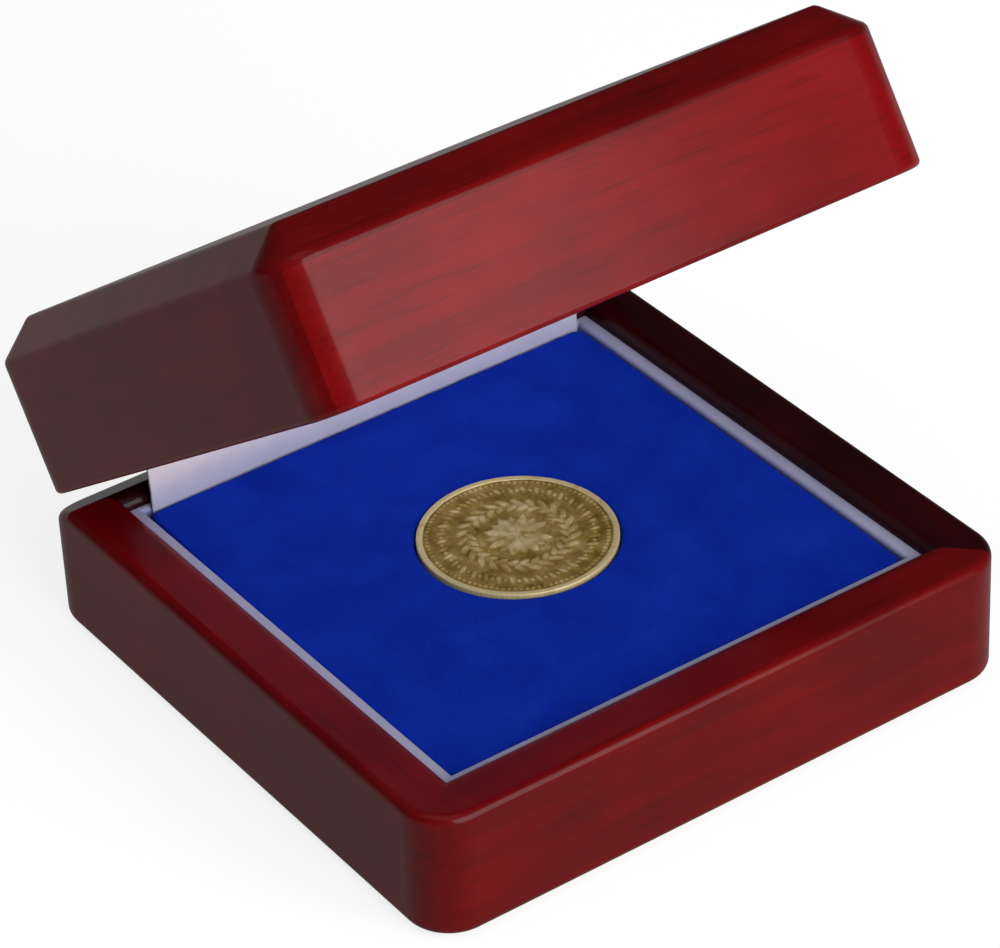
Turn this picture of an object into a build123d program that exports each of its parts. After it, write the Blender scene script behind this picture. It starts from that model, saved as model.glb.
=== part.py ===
"""Coin display case: a lacquered wooden box, 92 mm square, with a bevelled lid on two
small strap hinges, white liner strips, a velour insert and one coin.

Millimetres. The origin is the centre of the underside, +Z is up, the lid opens to the
back (+Y). The lid's pieces are drawn in their own frame, which is the closed position
swung open about the hinge line, so a height in that frame is a height of the closed case.
"""
from build123d import *
import os
from math import asin, atan2, cos, degrees, hypot, radians, sin

os.makedirs("parts", exist_ok=True)

# ---- driving dimensions -------------------------------------------------------------
case_width = 92.0  # X
case_depth = 92.0  # Y
base_height = 19.3  # from the ground to the rim
lid_height = 23.6
lid_opening = 35.25  # degrees from closed, as the case stands
closing_gap = 0.1  # between the rims when the lid is shut

wall = 7.9  # front and side rails
back_wall = 9.6
corner_radius = 6.5  # the case's upright corners
base_edge_rounding = 1.3
lid_edge_rounding = 0.8
lip_rounding = 1.75  # inner edge of both rims

chamfer_run = 5.2  # round the lid's top, seen from above
chamfer_drop = 4.6
chamfer_rounding = 1.4
lid_panel_thickness = 5.6

bevel_depth = 7.1  # along the top of the back rail
bevel_drop = 4.2

bottom_thickness = 3.0
rebate_width = 3.5
panel_clearance = 0.1
felt_thickness = 0.6
felt_inset = 1.8

liner_thickness = 2.0
back_liner_thickness = 1.0
liner_drop = 1.9  # from the rim to the liner's edge
liner_rounding = 0.6

hinge_inset = 2.15  # hinge line to the back face
hinge_setback = 22.0  # from the case's side to the middle of a hinge
hinge_width = 14.0
leaf_thickness = 0.8
leaf_leg = 8.5
leaf_bend = 0.9
pin_radius = 0.8
pin_clearance = 0.05
pin_chamfer = 0.3
knuckle_gap = 0.1
hinge_clearance = 0.2

screw_shank_radius = 0.7
screw_head_radius = 1.3
screw_length = 5.0
screw_spacing = 8.0
screw_clearance = 0.03

coin_diameter = 27.0
coin_thickness = 2.0
coin_rim_width = 0.9
coin_rim_height = 0.15
coin_edge_chamfer = 0.2
coin_rise = 0.3  # above the velour
coin_play = 0.15
coin_seat_gap = 0.02

insert_clearance = 0.15
velour_drop = 0.9  # from the liner's edge to the velour's border
velour_crown = 0.3
velour_layer = 1.2
velour_cloth = 0.6
velour_skirt = 7.0
velour_corner = 1.6
velour_rounding = 0.7

cushion_board = 1.5
cushion_thickness = 5.5
cushion_crown = 0.9
cushion_rounding = 2.2
cushion_corner = 5.0

lining_setback = 11.0  # from the case's side to the end of the strip
lining_thickness = 0.4
lining_tuck = 6.0  # below the liner's edge
lining_reach = 9.0  # above the lid liner's edge
lining_bend = 13.0
lining_clearance = 0.3

# ---- places worked out from them ----------------------------------------------------
half_width = case_width / 2
half_depth = case_depth / 2
cavity_side = half_width - wall
cavity_front = -half_depth + wall
cavity_back = half_depth - back_wall

rail_foot = felt_thickness
lid_foot = base_height + closing_gap
lid_ceiling = lid_foot + lid_height - lid_panel_thickness
lid_shoulder = lid_foot + lid_height - chamfer_drop

barrel_radius = pin_radius + pin_clearance + leaf_thickness
hinge_y = half_depth - hinge_inset
hinge_z = base_height + barrel_radius
hinge_centres = (hinge_setback - half_width, half_width - hinge_setback)

liner_top = base_height - liner_drop
lid_liner_foot = lid_foot + liner_drop
velour_border = liner_top - velour_drop
velour_top = velour_border + velour_crown
bottom_top = rail_foot + bottom_thickness

pivot = Plane(origin=(0, hinge_y, hinge_z)).rotated((-lid_opening, 0, 0))
base_frame = Plane.XY
lid_frame = Plane(
    origin=pivot.from_local_coords((0, -hinge_y, -hinge_z)),
    x_dir=pivot.x_dir,
    z_dir=pivot.z_dir,
)


# ---- helpers ------------------------------------------------------------------------
def upright(frame):
    """Axis that points up in a frame."""
    return Axis(frame.origin, frame.z_dir)


def side_section(frame, x):
    """Plane across the case at x, with its own axes along the frame's Y and Z."""
    return Plane(origin=frame.from_local_coords((x, 0, 0)), x_dir=frame.y_dir, z_dir=frame.x_dir)


def box_outline(side, front, back, corner=0.0, mode=Mode.ADD):
    """Rectangle from -side to side and from front to back, inside a sketch."""
    with Locations((0, (front + back) / 2)):
        if corner > 0:
            RectangleRounded(2 * side, back - front, corner, mode=mode)
        else:
            Rectangle(2 * side, back - front, mode=mode)


def section_outline(y_from, y_to, z_from, z_to):
    """Rectangle in a side section."""
    with Locations(((y_from + y_to) / 2, (z_from + z_to) / 2)):
        Rectangle(y_to - y_from, z_to - z_from)


def plan_corner(bounds, x_sign, y_end):
    """Corner of a plan rectangle given as (side, front, back)."""
    side, *ends = bounds
    return Vector(x_sign * side, ends[y_end])


def mitred_side(ring, frame, name, outer, inner, foot, head, lip_height, lip_radius):
    """One side of a frame, cut out between its two mitres, from foot to head."""
    outer_points = []
    inner_points = []
    for x_sign, y_end in side_ends[name]:
        outer_corner = plan_corner(outer, x_sign, y_end)
        inner_corner = plan_corner(inner, x_sign, y_end)
        # The cut runs on past both ends of the mitre, so only the mitres themselves cut.
        overrun = (outer_corner - inner_corner) * mitre_overrun
        outer_points.append(outer_corner + overrun)
        inner_points.append(inner_corner - overrun)
    with BuildPart() as side:
        add(ring)
        with BuildSketch(frame.offset(foot)):
            with BuildLine():
                Polyline(*outer_points, *reversed(inner_points), close=True)
            make_face()
        extrude(amount=head - foot, mode=Mode.INTERSECT)
        # Round the inner edge that shows, which then meets its neighbours' in the mitre.
        inner_ends = [plan_corner(inner, x_sign, y_end) for x_sign, y_end in side_ends[name]]
        lip_middle = (inner_ends[0] + inner_ends[1]) / 2 + Vector(0, 0, lip_height)
        lip = side.edges().sort_by_distance(frame.from_local_coords(lip_middle))[0]
        fillet(lip, radius=lip_radius)
    return side


mitre_overrun = 0.4  # of the mitre's length, at each end
side_ends = {
    "front": ((-1, 0), (1, 0)),
    "right": ((1, 0), (1, 1)),
    "back": ((1, 1), (-1, 1)),
    "left": ((-1, 1), (-1, 0)),
}
rail_outer = (half_width, -half_depth, half_depth)
cavity = (cavity_side, cavity_front, cavity_back)
insert_space = (
    cavity_side - liner_thickness,
    cavity_front + liner_thickness,
    cavity_back - back_liner_thickness,
)


# ---- base: the mitred frame ---------------------------------------------------------
base_up = upright(base_frame)
leaf_face = cavity_back + leaf_thickness
leaf_inner_bend = leaf_bend - leaf_thickness / 2
notch_half = hinge_width / 2 + hinge_clearance
barrel_front = hinge_y - barrel_radius - hinge_clearance
ledge_end = half_depth - bevel_depth + leaf_thickness * bevel_depth / bevel_drop
base_screw_z = base_height - leaf_leg / 2 - leaf_thickness
lid_strap_z = hinge_z + barrel_radius
lid_screw_z = lid_strap_z + leaf_leg / 2


def screw_planes(frame, height, centres=hinge_centres):
    """Planes on the leaves' visible faces, facing forward, one for each screw."""
    return [
        Plane(
            origin=frame.from_local_coords((centre + offset, cavity_back, height)),
            x_dir=frame.x_dir,
            z_dir=-frame.y_dir,
        )
        for centre in centres
        for offset in (-screw_spacing / 2, screw_spacing / 2)
    ]


def hinge_sections(frame):
    """Side sections through the middles of both hinges."""
    return [side_section(frame, centre) for centre in hinge_centres]


def drill_pilot_holes(frame, height):
    """Holes in a back rail for the screws of both leaves."""
    with Locations(*screw_planes(frame, height)):
        Cylinder(
            screw_shank_radius + screw_clearance,
            screw_length + screw_clearance,
            align=(Align.CENTER, Align.CENTER, Align.MAX),
            mode=Mode.SUBTRACT,
        )


with BuildPart() as base_ring:
    with BuildSketch(base_frame.offset(rail_foot)):
        box_outline(*rail_outer, corner=corner_radius)
        box_outline(*cavity, mode=Mode.SUBTRACT)
    extrude(amount=base_height - rail_foot)
    # The long bevel behind the lid's back edge, cut before the edges are rounded.
    with BuildSketch(side_section(base_frame, 0)):
        with BuildLine():
            Polyline(
                (half_depth - bevel_depth, base_height),
                (half_depth, base_height - bevel_drop),
                (half_depth, base_height),
                close=True,
            )
        make_face()
    extrude(amount=half_width, both=True, mode=Mode.SUBTRACT)
    bevel_middle = (0, half_depth - bevel_depth / 2, base_height - bevel_drop / 2)
    bevel = base_ring.faces().sort_by_distance(bevel_middle)[0]
    rim = base_ring.faces().filter_by(Axis.Z).sort_by(base_up)[-1]
    fillet(set(rim.outer_wire().edges()) | set(bevel.edges()), radius=base_edge_rounding)
    underside = base_ring.faces().sort_by(base_up)[0]
    fillet(underside.outer_wire().edges(), radius=base_edge_rounding)
    # Rebate for the bottom panel.
    with BuildSketch(base_frame.offset(rail_foot)):
        box_outline(
            cavity_side + rebate_width, cavity_front - rebate_width, cavity_back + rebate_width
        )
    extrude(amount=bottom_thickness, mode=Mode.SUBTRACT)

for side_name in side_ends:
    cut = mitred_side(
        base_ring.part, base_frame, side_name, rail_outer, cavity,
        0, lid_foot, base_height, lip_rounding,
    )
    with BuildPart() as base_rail:
        add(cut.part)
        if side_name == "back":
            # Mortises that let the hinge leaves in flush.
            with BuildSketch(*hinge_sections(base_frame)) as mortise:
                section_outline(cavity_back, leaf_face, base_height - leaf_leg, base_height)
                section_outline(
                    cavity_back, half_depth, base_height - leaf_thickness, base_height
                )
                inner_corner = Vector(leaf_face, base_height - leaf_thickness)
                fillet(mortise.vertices().sort_by_distance(inner_corner)[0], leaf_inner_bend)
            extrude(amount=notch_half, both=True, mode=Mode.SUBTRACT)
            drill_pilot_holes(base_frame, base_screw_z)
    base_rail.part.label = f"base_{side_name}_rail"
    export_step(base_rail.part, f"parts/base_{side_name}_rail.step")

with BuildPart() as base_bottom_panel:
    with BuildSketch(base_frame.offset(rail_foot)):
        box_outline(
            cavity_side + rebate_width - panel_clearance,
            cavity_front - rebate_width + panel_clearance,
            cavity_back + rebate_width - panel_clearance,
        )
    extrude(amount=bottom_thickness)
base_bottom_panel.part.label = "base_bottom_panel"
export_step(base_bottom_panel.part, "parts/base_bottom_panel.step")

with BuildPart() as underside_felt:
    with BuildSketch(base_frame):
        box_outline(
            half_width - felt_inset,
            -half_depth + felt_inset,
            half_depth - felt_inset,
            corner=corner_radius - felt_inset,
        )
    extrude(amount=felt_thickness)
underside_felt.part.label = "underside_felt"
export_step(underside_felt.part, "parts/underside_felt.step")


# ---- lid: frame and top panel, cut from one bevelled block --------------------------
lid_up = upright(lid_frame)

with BuildPart() as lid_shell:
    with BuildSketch(lid_frame.offset(lid_foot)):
        box_outline(*rail_outer, corner=corner_radius)
    extrude(amount=lid_shoulder - lid_foot)
    extrude(
        lid_shell.faces().sort_by(lid_up)[-1],
        amount=chamfer_drop,
        taper=degrees(atan2(chamfer_run, chamfer_drop)),
    )
    foot_edges, _, shoulder_edges, _, crest_edges = lid_shell.edges().group_by(lid_up)
    fillet(shoulder_edges + crest_edges, radius=chamfer_rounding)
    fillet(lid_shell.faces().sort_by(lid_up)[0].edges(), radius=lid_edge_rounding)
    with BuildSketch(lid_frame.offset(lid_foot)):
        box_outline(*cavity)
    extrude(amount=lid_ceiling - lid_foot, mode=Mode.SUBTRACT)

for side_name in side_ends:
    cut = mitred_side(
        lid_shell.part, lid_frame, side_name, rail_outer, cavity,
        base_height, lid_ceiling, lid_foot, lip_rounding,
    )
    with BuildPart() as lid_rail:
        add(cut.part)
        if side_name == "back":
            # Notches that house the hinge barrels, open to the back, with the leaves' mortises.
            with BuildSketch(*hinge_sections(lid_frame)) as notch:
                section_outline(cavity_back, half_depth, lid_foot, lid_strap_z)
                section_outline(cavity_back, leaf_face, lid_foot, lid_strap_z + leaf_leg)
                inner_corner = Vector(leaf_face, lid_strap_z)
                fillet(notch.vertices().sort_by_distance(inner_corner)[0], leaf_inner_bend)
                section_outline(
                    barrel_front, half_depth, lid_foot, lid_strap_z + hinge_clearance
                )
            extrude(amount=notch_half, both=True, mode=Mode.SUBTRACT)
            drill_pilot_holes(lid_frame, lid_screw_z)
    lid_rail.part.label = f"lid_{side_name}_rail"
    export_step(lid_rail.part, f"parts/lid_{side_name}_rail.step")

with BuildPart() as lid_top_panel:
    add(lid_shell.part)
    split(bisect_by=lid_frame.offset(lid_ceiling), keep=Keep.TOP)
lid_top_panel.part.label = "lid_top_panel"
export_step(lid_top_panel.part, "parts/lid_top_panel.step")


# ---- liner strips -------------------------------------------------------------------
def liner_ring(frame, foot, head):
    """All four strips in one ring."""
    with BuildPart() as ring:
        with BuildSketch(frame.offset(foot)):
            box_outline(*cavity)
            box_outline(*insert_space, mode=Mode.SUBTRACT)
        extrude(amount=head - foot)
    return ring


base_liners = liner_ring(base_frame, bottom_top, liner_top)
lid_liners = liner_ring(lid_frame, lid_liner_foot, lid_ceiling)

for side_name in side_ends:
    base_liner = mitred_side(
        base_liners.part, base_frame, side_name, cavity, insert_space,
        0, base_height, liner_top, liner_rounding,
    )
    base_liner.part.label = f"base_{side_name}_liner"
    export_step(base_liner.part, f"parts/base_{side_name}_liner.step")

    lid_liner = mitred_side(
        lid_liners.part, lid_frame, side_name, cavity, insert_space,
        lid_foot, lid_shoulder, lid_liner_foot, liner_rounding,
    )
    lid_liner.part.label = f"lid_{side_name}_liner"
    export_step(lid_liner.part, f"parts/lid_{side_name}_liner.step")


# ---- insert: block, board and the velour cover with its coin recess -----------------
coin_radius = coin_diameter / 2
coin_top = velour_top + coin_rise
coin_foot = coin_top - coin_thickness
recess_floor = coin_foot - coin_seat_gap
recess_radius = coin_radius + coin_play
well_radius = recess_radius + velour_cloth
block_top = recess_floor - velour_cloth
board_top = velour_border - velour_layer
velour_foot = velour_border - velour_skirt

insert_side = insert_space[0] - insert_clearance
insert_front = insert_space[1] + insert_clearance
insert_back = insert_space[2] - insert_clearance - lining_thickness
insert = (insert_side, insert_front, insert_back)
core = (insert_side - velour_cloth, insert_front + velour_cloth, insert_back - velour_cloth)
insert_middle = (insert_front + insert_back) / 2
half_insert = (insert_back - insert_front) / 2


def crown(plane, middle, half_span, rise):
    """Shallow dome for a flat pad, which rises by rise over half a span."""
    dome = (half_span**2 + rise**2) / (2 * rise)
    with BuildPart() as cap:
        with BuildSketch(plane):
            with Locations((0, middle)):
                Circle(half_span)
        extrude(amount=2 * rise)
        # The ball's poles lie level, so neither of them is in the dome.
        with Locations(plane.from_local_coords((0, middle, rise - dome))):
            Sphere(dome, rotation=(90, 0, 0), mode=Mode.INTERSECT)
    return cap


with BuildPart() as insert_block:
    with BuildSketch(base_frame.offset(bottom_top)):
        box_outline(*core, corner=velour_corner)
    extrude(amount=block_top - bottom_top)
insert_block.part.label = "insert_block"
export_step(insert_block.part, "parts/insert_block.step")

with BuildPart() as pad_board:
    with BuildSketch(base_frame.offset(block_top)):
        box_outline(*core, corner=velour_corner)
        Circle(well_radius, mode=Mode.SUBTRACT)
    extrude(amount=board_top - block_top)
pad_board.part.label = "pad_board"
export_step(pad_board.part, "parts/pad_board.step")

with BuildPart() as velour_pad:
    with BuildSketch(base_frame.offset(velour_foot)):
        box_outline(*insert, corner=velour_corner)
    extrude(amount=velour_border - velour_foot)
    fillet(velour_pad.faces().sort_by(base_up)[-1].edges(), radius=velour_rounding)
    dome_span = half_insert - velour_rounding
    add(crown(base_frame.offset(velour_border), insert_middle, dome_span, velour_crown).part)
    with BuildSketch(base_frame.offset(velour_foot)):
        box_outline(*core, corner=velour_corner)
    extrude(amount=board_top - velour_foot, mode=Mode.SUBTRACT)
    with BuildSketch(base_frame.offset(block_top)):
        Circle(well_radius)
    extrude(amount=board_top - block_top)
    with BuildSketch(base_frame.offset(recess_floor)):
        Circle(recess_radius)
    extrude(amount=coin_thickness, mode=Mode.SUBTRACT)
velour_pad.part.label = "velour_pad"
export_step(velour_pad.part, "parts/velour_pad.step")


# ---- coin: a blank with a raised rim on both faces ----------------------------------
with BuildPart() as coin:
    with BuildSketch(base_frame.offset(coin_foot)):
        Circle(coin_radius)
    extrude(amount=coin_thickness)
    chamfer(coin.edges(), length=coin_edge_chamfer)
    for face_height in (coin_foot, coin_top - coin_rim_height):
        with BuildSketch(base_frame.offset(face_height)):
            Circle(coin_radius - coin_rim_width)
        extrude(amount=coin_rim_height, mode=Mode.SUBTRACT)
coin.part.label = "coin"
export_step(coin.part, "parts/coin.step")


# ---- padding of the lid -------------------------------------------------------------
cushion_root = lid_ceiling - cushion_board
downward = Plane(
    origin=lid_frame.from_local_coords((0, insert_middle, cushion_root)),
    x_dir=lid_frame.x_dir,
    z_dir=-lid_frame.z_dir,
)

with BuildPart() as lid_cushion_board:
    with BuildSketch(lid_frame.offset(cushion_root)):
        box_outline(*insert, corner=cushion_corner)
    extrude(amount=cushion_board)
lid_cushion_board.part.label = "lid_cushion_board"
export_step(lid_cushion_board.part, "parts/lid_cushion_board.step")

with BuildPart() as lid_satin_cushion:
    with BuildSketch(downward):
        box_outline(insert_side, -half_insert, half_insert, corner=cushion_corner)
    extrude(amount=cushion_thickness - cushion_crown)
    fillet(lid_satin_cushion.faces().sort_by(lid_up)[0].edges(), radius=cushion_rounding)
    dome_foot = downward.offset(cushion_thickness - cushion_crown)
    add(crown(dome_foot, 0, half_insert - cushion_rounding, cushion_crown).part)
lid_satin_cushion.part.label = "lid_satin_cushion"
export_step(lid_satin_cushion.part, "parts/lid_satin_cushion.step")


# ---- hinges -------------------------------------------------------------------------
knuckle_length = (hinge_width - 2 * knuckle_gap) / 3
centre_slot = knuckle_length + 2 * knuckle_gap
leaf_middle = leaf_thickness / 2


def drill_leaf(frame, centre, height):
    """Two countersunk holes through the leg of a leaf."""
    with Locations(*screw_planes(frame, height, (centre,))):
        CounterSinkHole(
            radius=screw_shank_radius + screw_clearance,
            counter_sink_radius=screw_head_radius + screw_clearance,
            depth=leaf_thickness,
        )


def base_leaf(centre):
    """Leaf let into the base: a leg, a strap on the ledge, a crank and two knuckles."""
    run = hinge_y - ledge_end
    rise = hinge_z - (base_height - leaf_middle)
    slope = atan2(rise, run) - asin((barrel_radius - leaf_middle) / hypot(run, rise))
    touch_y = hinge_y + (barrel_radius - leaf_middle) * sin(slope)
    touch_z = hinge_z - (barrel_radius - leaf_middle) * cos(slope)
    with BuildPart() as leaf:
        with BuildSketch(side_section(base_frame, centre)):
            with BuildLine():
                FilletPolyline(
                    (cavity_back + leaf_middle, base_height - leaf_leg),
                    (cavity_back + leaf_middle, base_height - leaf_middle),
                    (ledge_end, base_height - leaf_middle),
                    radius=leaf_bend,
                )
                Line((ledge_end, base_height - leaf_middle), (touch_y, touch_z))
            trace(line_width=leaf_thickness)
            with Locations((hinge_y, hinge_z)):
                Circle(barrel_radius)
                Circle(pin_radius + pin_clearance, mode=Mode.SUBTRACT)
        extrude(amount=hinge_width / 2, both=True)
        with BuildSketch(side_section(base_frame, centre)):
            section_outline(
                barrel_front,
                hinge_y + barrel_radius,
                base_height - leaf_thickness,
                hinge_z + barrel_radius,
            )
        extrude(amount=centre_slot / 2, both=True, mode=Mode.SUBTRACT)
        drill_leaf(base_frame, centre, base_screw_z)
    return leaf


def lid_leaf(centre):
    """Leaf let into the lid: a leg, a strap over the barrel and the middle knuckle."""
    strap_middle = lid_strap_z - leaf_middle
    with BuildPart() as leaf:
        with BuildSketch(side_section(lid_frame, centre)):
            with BuildLine():
                FilletPolyline(
                    (cavity_back + leaf_middle, lid_strap_z + leaf_leg),
                    (cavity_back + leaf_middle, strap_middle),
                    (hinge_y, strap_middle),
                    radius=leaf_bend,
                )
            trace(line_width=leaf_thickness)
            with Locations((hinge_y, hinge_z)):
                Circle(barrel_radius)
                Circle(pin_radius + pin_clearance, mode=Mode.SUBTRACT)
        extrude(amount=hinge_width / 2, both=True)
        for end in (-1, 1):
            middle_of_knuckle = centre + end * (knuckle_length + knuckle_gap)
            with BuildSketch(side_section(lid_frame, middle_of_knuckle)):
                section_outline(
                    barrel_front,
                    hinge_y + barrel_radius,
                    hinge_z - barrel_radius,
                    hinge_z + barrel_radius,
                )
            extrude(amount=knuckle_length / 2 + knuckle_gap, both=True, mode=Mode.SUBTRACT)
        drill_leaf(lid_frame, centre, lid_screw_z)
    return leaf


def hinge_pin(centre):
    """Plain pin with chamfered ends."""
    with BuildPart() as pin:
        with BuildSketch(side_section(base_frame, centre)):
            with Locations((hinge_y, hinge_z)):
                Circle(pin_radius)
        extrude(amount=hinge_width / 2, both=True)
        chamfer(pin.edges().filter_by(GeomType.CIRCLE), length=pin_chamfer)
    return pin


for hinge_side, hinge_centre in zip(("left", "right"), hinge_centres):
    for piece, shape in (
        ("base_leaf", base_leaf(hinge_centre)),
        ("lid_leaf", lid_leaf(hinge_centre)),
        ("pin", hinge_pin(hinge_centre)),
    ):
        shape.part.label = f"{hinge_side}_hinge_{piece}"
        export_step(shape.part, f"parts/{hinge_side}_hinge_{piece}.step")


def hinge_screws(frame, height):
    """Countersunk screws, one for each hole of both leaves."""
    with BuildPart() as screws:
        with Locations(*screw_planes(frame, height)):
            Cylinder(
                screw_shank_radius,
                screw_length,
                align=(Align.CENTER, Align.CENTER, Align.MAX),
            )
            Cone(
                screw_shank_radius,
                screw_head_radius,
                screw_head_radius - screw_shank_radius,
                align=(Align.CENTER, Align.CENTER, Align.MAX),
            )
    return screws


base_hinge_screws = hinge_screws(base_frame, base_screw_z)
base_hinge_screws.part.label = "base_hinge_screws"
export_step(base_hinge_screws.part, "parts/base_hinge_screws.step")

lid_hinge_screws = hinge_screws(lid_frame, lid_screw_z)
lid_hinge_screws.part.label = "lid_hinge_screws"
export_step(lid_hinge_screws.part, "parts/lid_hinge_screws.step")


# ---- hinge lining: one strip of cloth from behind the insert up into the lid ---------
lining_base_y = insert_space[2] - lining_thickness / 2
lining_lid_y = insert_space[2] - lining_clearance - lining_thickness / 2
lid_line_foot = lid_frame.from_local_coords((0, lining_lid_y, 0))
lid_line_end = lid_frame.from_local_coords((0, lining_lid_y, lid_liner_foot + lining_reach))
lean = radians(lid_opening)
fold_z = lid_line_foot.Z + (lining_base_y - lid_line_foot.Y) / sin(lean) * cos(lean)

with BuildPart() as hinge_lining:
    with BuildSketch(side_section(base_frame, 0)):
        with BuildLine():
            FilletPolyline(
                (lining_base_y, liner_top - lining_tuck),
                (lining_base_y, fold_z),
                (lid_line_end.Y, lid_line_end.Z),
                radius=lining_bend,
            )
        trace(line_width=lining_thickness)
    extrude(amount=half_width - lining_setback, both=True)
hinge_lining.part.label = "hinge_lining"
export_step(hinge_lining.part, "parts/hinge_lining.step")
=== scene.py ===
"""Looks of the coin display case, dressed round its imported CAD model.

Metres, in the row frame. Lengths are written in millimetres and multiplied by MM. The lid's
own pieces are worked out for the closed case and then swung open about the hinge line.
"""

import functools
import math

import bpy
import numpy as np
from mathutils import Matrix


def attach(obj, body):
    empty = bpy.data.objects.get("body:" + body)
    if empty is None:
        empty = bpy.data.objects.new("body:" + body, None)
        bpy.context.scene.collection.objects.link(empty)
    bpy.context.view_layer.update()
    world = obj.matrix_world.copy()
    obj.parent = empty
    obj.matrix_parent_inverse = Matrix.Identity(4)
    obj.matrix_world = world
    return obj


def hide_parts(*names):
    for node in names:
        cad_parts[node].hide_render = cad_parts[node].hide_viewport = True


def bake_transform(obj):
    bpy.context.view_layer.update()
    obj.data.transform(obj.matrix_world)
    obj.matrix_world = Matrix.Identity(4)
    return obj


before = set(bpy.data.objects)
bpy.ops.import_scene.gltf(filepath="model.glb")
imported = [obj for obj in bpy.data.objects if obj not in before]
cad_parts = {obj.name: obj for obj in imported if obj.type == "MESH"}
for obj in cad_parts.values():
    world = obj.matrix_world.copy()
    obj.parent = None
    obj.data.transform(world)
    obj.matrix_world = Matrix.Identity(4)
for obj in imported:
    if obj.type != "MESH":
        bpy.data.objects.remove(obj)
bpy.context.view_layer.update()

MM = 0.001

# ---- sizes shared by several pieces, in millimetres ---------------------------------
LID_OPENING = math.radians(35.25)
HINGE_Y = 43.85
HINGE_Z = 20.95

INSERT_SIDE = 35.95
INSERT_FRONT = -35.95
INSERT_BACK = 34.85
VELOUR_FOOT = 9.5
VELOUR_BORDER = 16.5
VELOUR_CROWN = 0.3

COIN_RADIUS = 13.5
COIN_FOOT = 15.1
COIN_TOP = 17.1
RECESS_RADIUS = 13.65
RECESS_FLOOR = 15.08


def opened(points):
    """Points of the closed lid, turned about the hinge line to where the lid stands."""
    y = points[..., 1] - HINGE_Y
    z = points[..., 2] - HINGE_Z
    c, s = math.cos(LID_OPENING), math.sin(LID_OPENING)
    return np.stack([points[..., 0], HINGE_Y + y * c + z * s, HINGE_Z - y * s + z * c], axis=-1)


# ---- meshes -------------------------------------------------------------------------
def mesh_object(name, points, faces, sharp_degrees=None):
    """Object at the origin from points in millimetres and faces that look outwards."""
    mesh = bpy.data.meshes.new(name)
    mesh.from_pydata((points.reshape(-1, 3) * MM).tolist(), [], faces)
    mesh.update()
    mesh.shade_smooth()
    if sharp_degrees is not None:
        mesh.set_sharp_from_angle(angle=math.radians(sharp_degrees))
    piece = bpy.data.objects.new(name, mesh)
    bpy.context.scene.collection.objects.link(piece)
    return piece


def ring_faces(rings, count):
    """Quads between neighbouring closed rings of count points each."""
    row = np.arange(rings - 1)[:, None] * count
    here = np.arange(count)[None, :]
    after = (here + 1) % count
    quads = np.stack([row + here, row + count + here, row + count + after, row + after], axis=-1)
    return quads.reshape(-1, 4)


def closed_skin(name, first, rings, last, sharp_degrees=None):
    """Closed skin through rings of points, from one end point to the other.

    A ring runs anticlockwise seen from above and the rings go from the top's middle outwards,
    down and back under, so quads between them look outwards. A fan closes each end.
    """
    count = rings.shape[1]
    here = np.arange(count)
    after = (here + 1) % count
    total = rings.shape[0] * count
    start = np.full(count, total)
    end = np.full(count, total + 1)
    faces = ring_faces(rings.shape[0], count).tolist()
    faces += np.stack([start, here, after], axis=-1).tolist()
    tail = total - count
    faces += np.stack([end, tail + after, tail + here], axis=-1).tolist()
    points = np.concatenate([rings.reshape(-1, 3), np.array([first, last], float)])
    return mesh_object(name, points, faces, sharp_degrees)


def grid_faces(rows, columns):
    """Quads of an open grid."""
    corner = np.arange(rows - 1)[:, None] * columns + np.arange(columns - 1)[None, :]
    quads = np.stack([corner, corner + 1, corner + columns + 1, corner + columns], axis=-1)
    return quads.reshape(-1, 4).tolist()


def rounded_outline(side, front, back, corner, count):
    """Rounded rectangle as count points, evenly spaced along it, with outward normals.

    Each corner is a quarter circle about a point one radius in from both sides, and the
    loop through the four quarters is divided by its length.
    """
    quarter = np.linspace(0, math.pi / 2, 33)
    angles = (np.arange(4)[:, None] * math.pi / 2 + quarter).ravel()
    sign_x = np.repeat([1, -1, -1, 1], quarter.size)
    sign_y = np.repeat([1, 1, -1, -1], quarter.size)
    middle = (front + back) / 2
    x = sign_x * (side - corner) + corner * np.cos(angles)
    y = middle + sign_y * ((back - front) / 2 - corner) + corner * np.sin(angles)
    x, y, angles = (np.append(values, values[0]) for values in (x, y, angles))
    angles[-1] = 2 * math.pi
    length = np.concatenate([[0], np.cumsum(np.hypot(np.diff(x), np.diff(y)))])
    at = np.linspace(0, length[-1], count, endpoint=False)
    angle = np.interp(at, length, angles)
    outline = np.stack([np.interp(at, length, x), np.interp(at, length, y)], axis=-1)
    return outline, np.stack([np.cos(angle), np.sin(angle)], axis=-1)


def smooth_step(low, high, value):
    """0 below low, 1 above high, and an S curve between them."""
    share = np.clip((value - low) / (high - low), 0, 1)
    return share * share * (3 - 2 * share)


def ripple(u, v, seed, octaves=4):
    """Soft unevenness from about -1 to 1: a sum of crossed sines of fixed pseudo-random phase."""
    chance = np.random.default_rng(seed)
    total = np.zeros(np.broadcast(u, v).shape)
    for octave in range(octaves):
        turn, phase, other = chance.uniform(0, 2 * math.pi, 3)
        wave = 1.9**octave
        along = u * math.cos(turn) + v * math.sin(turn)
        across = v * math.cos(turn) - u * math.sin(turn)
        total += np.sin(wave * along + phase) * np.cos(0.83 * wave * across + other) / 1.5**octave
    return total / 2


# ---- materials ----------------------------------------------------------------------
def colour(code):
    """Linear RGBA of an sRGB hex code."""
    parts = np.array([int(code[i : i + 2], 16) for i in (1, 3, 5)]) / 255
    linear = np.where(parts <= 0.04045, parts / 12.92, ((parts + 0.055) / 1.055) ** 2.4)
    return (*linear.tolist(), 1.0)


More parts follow.
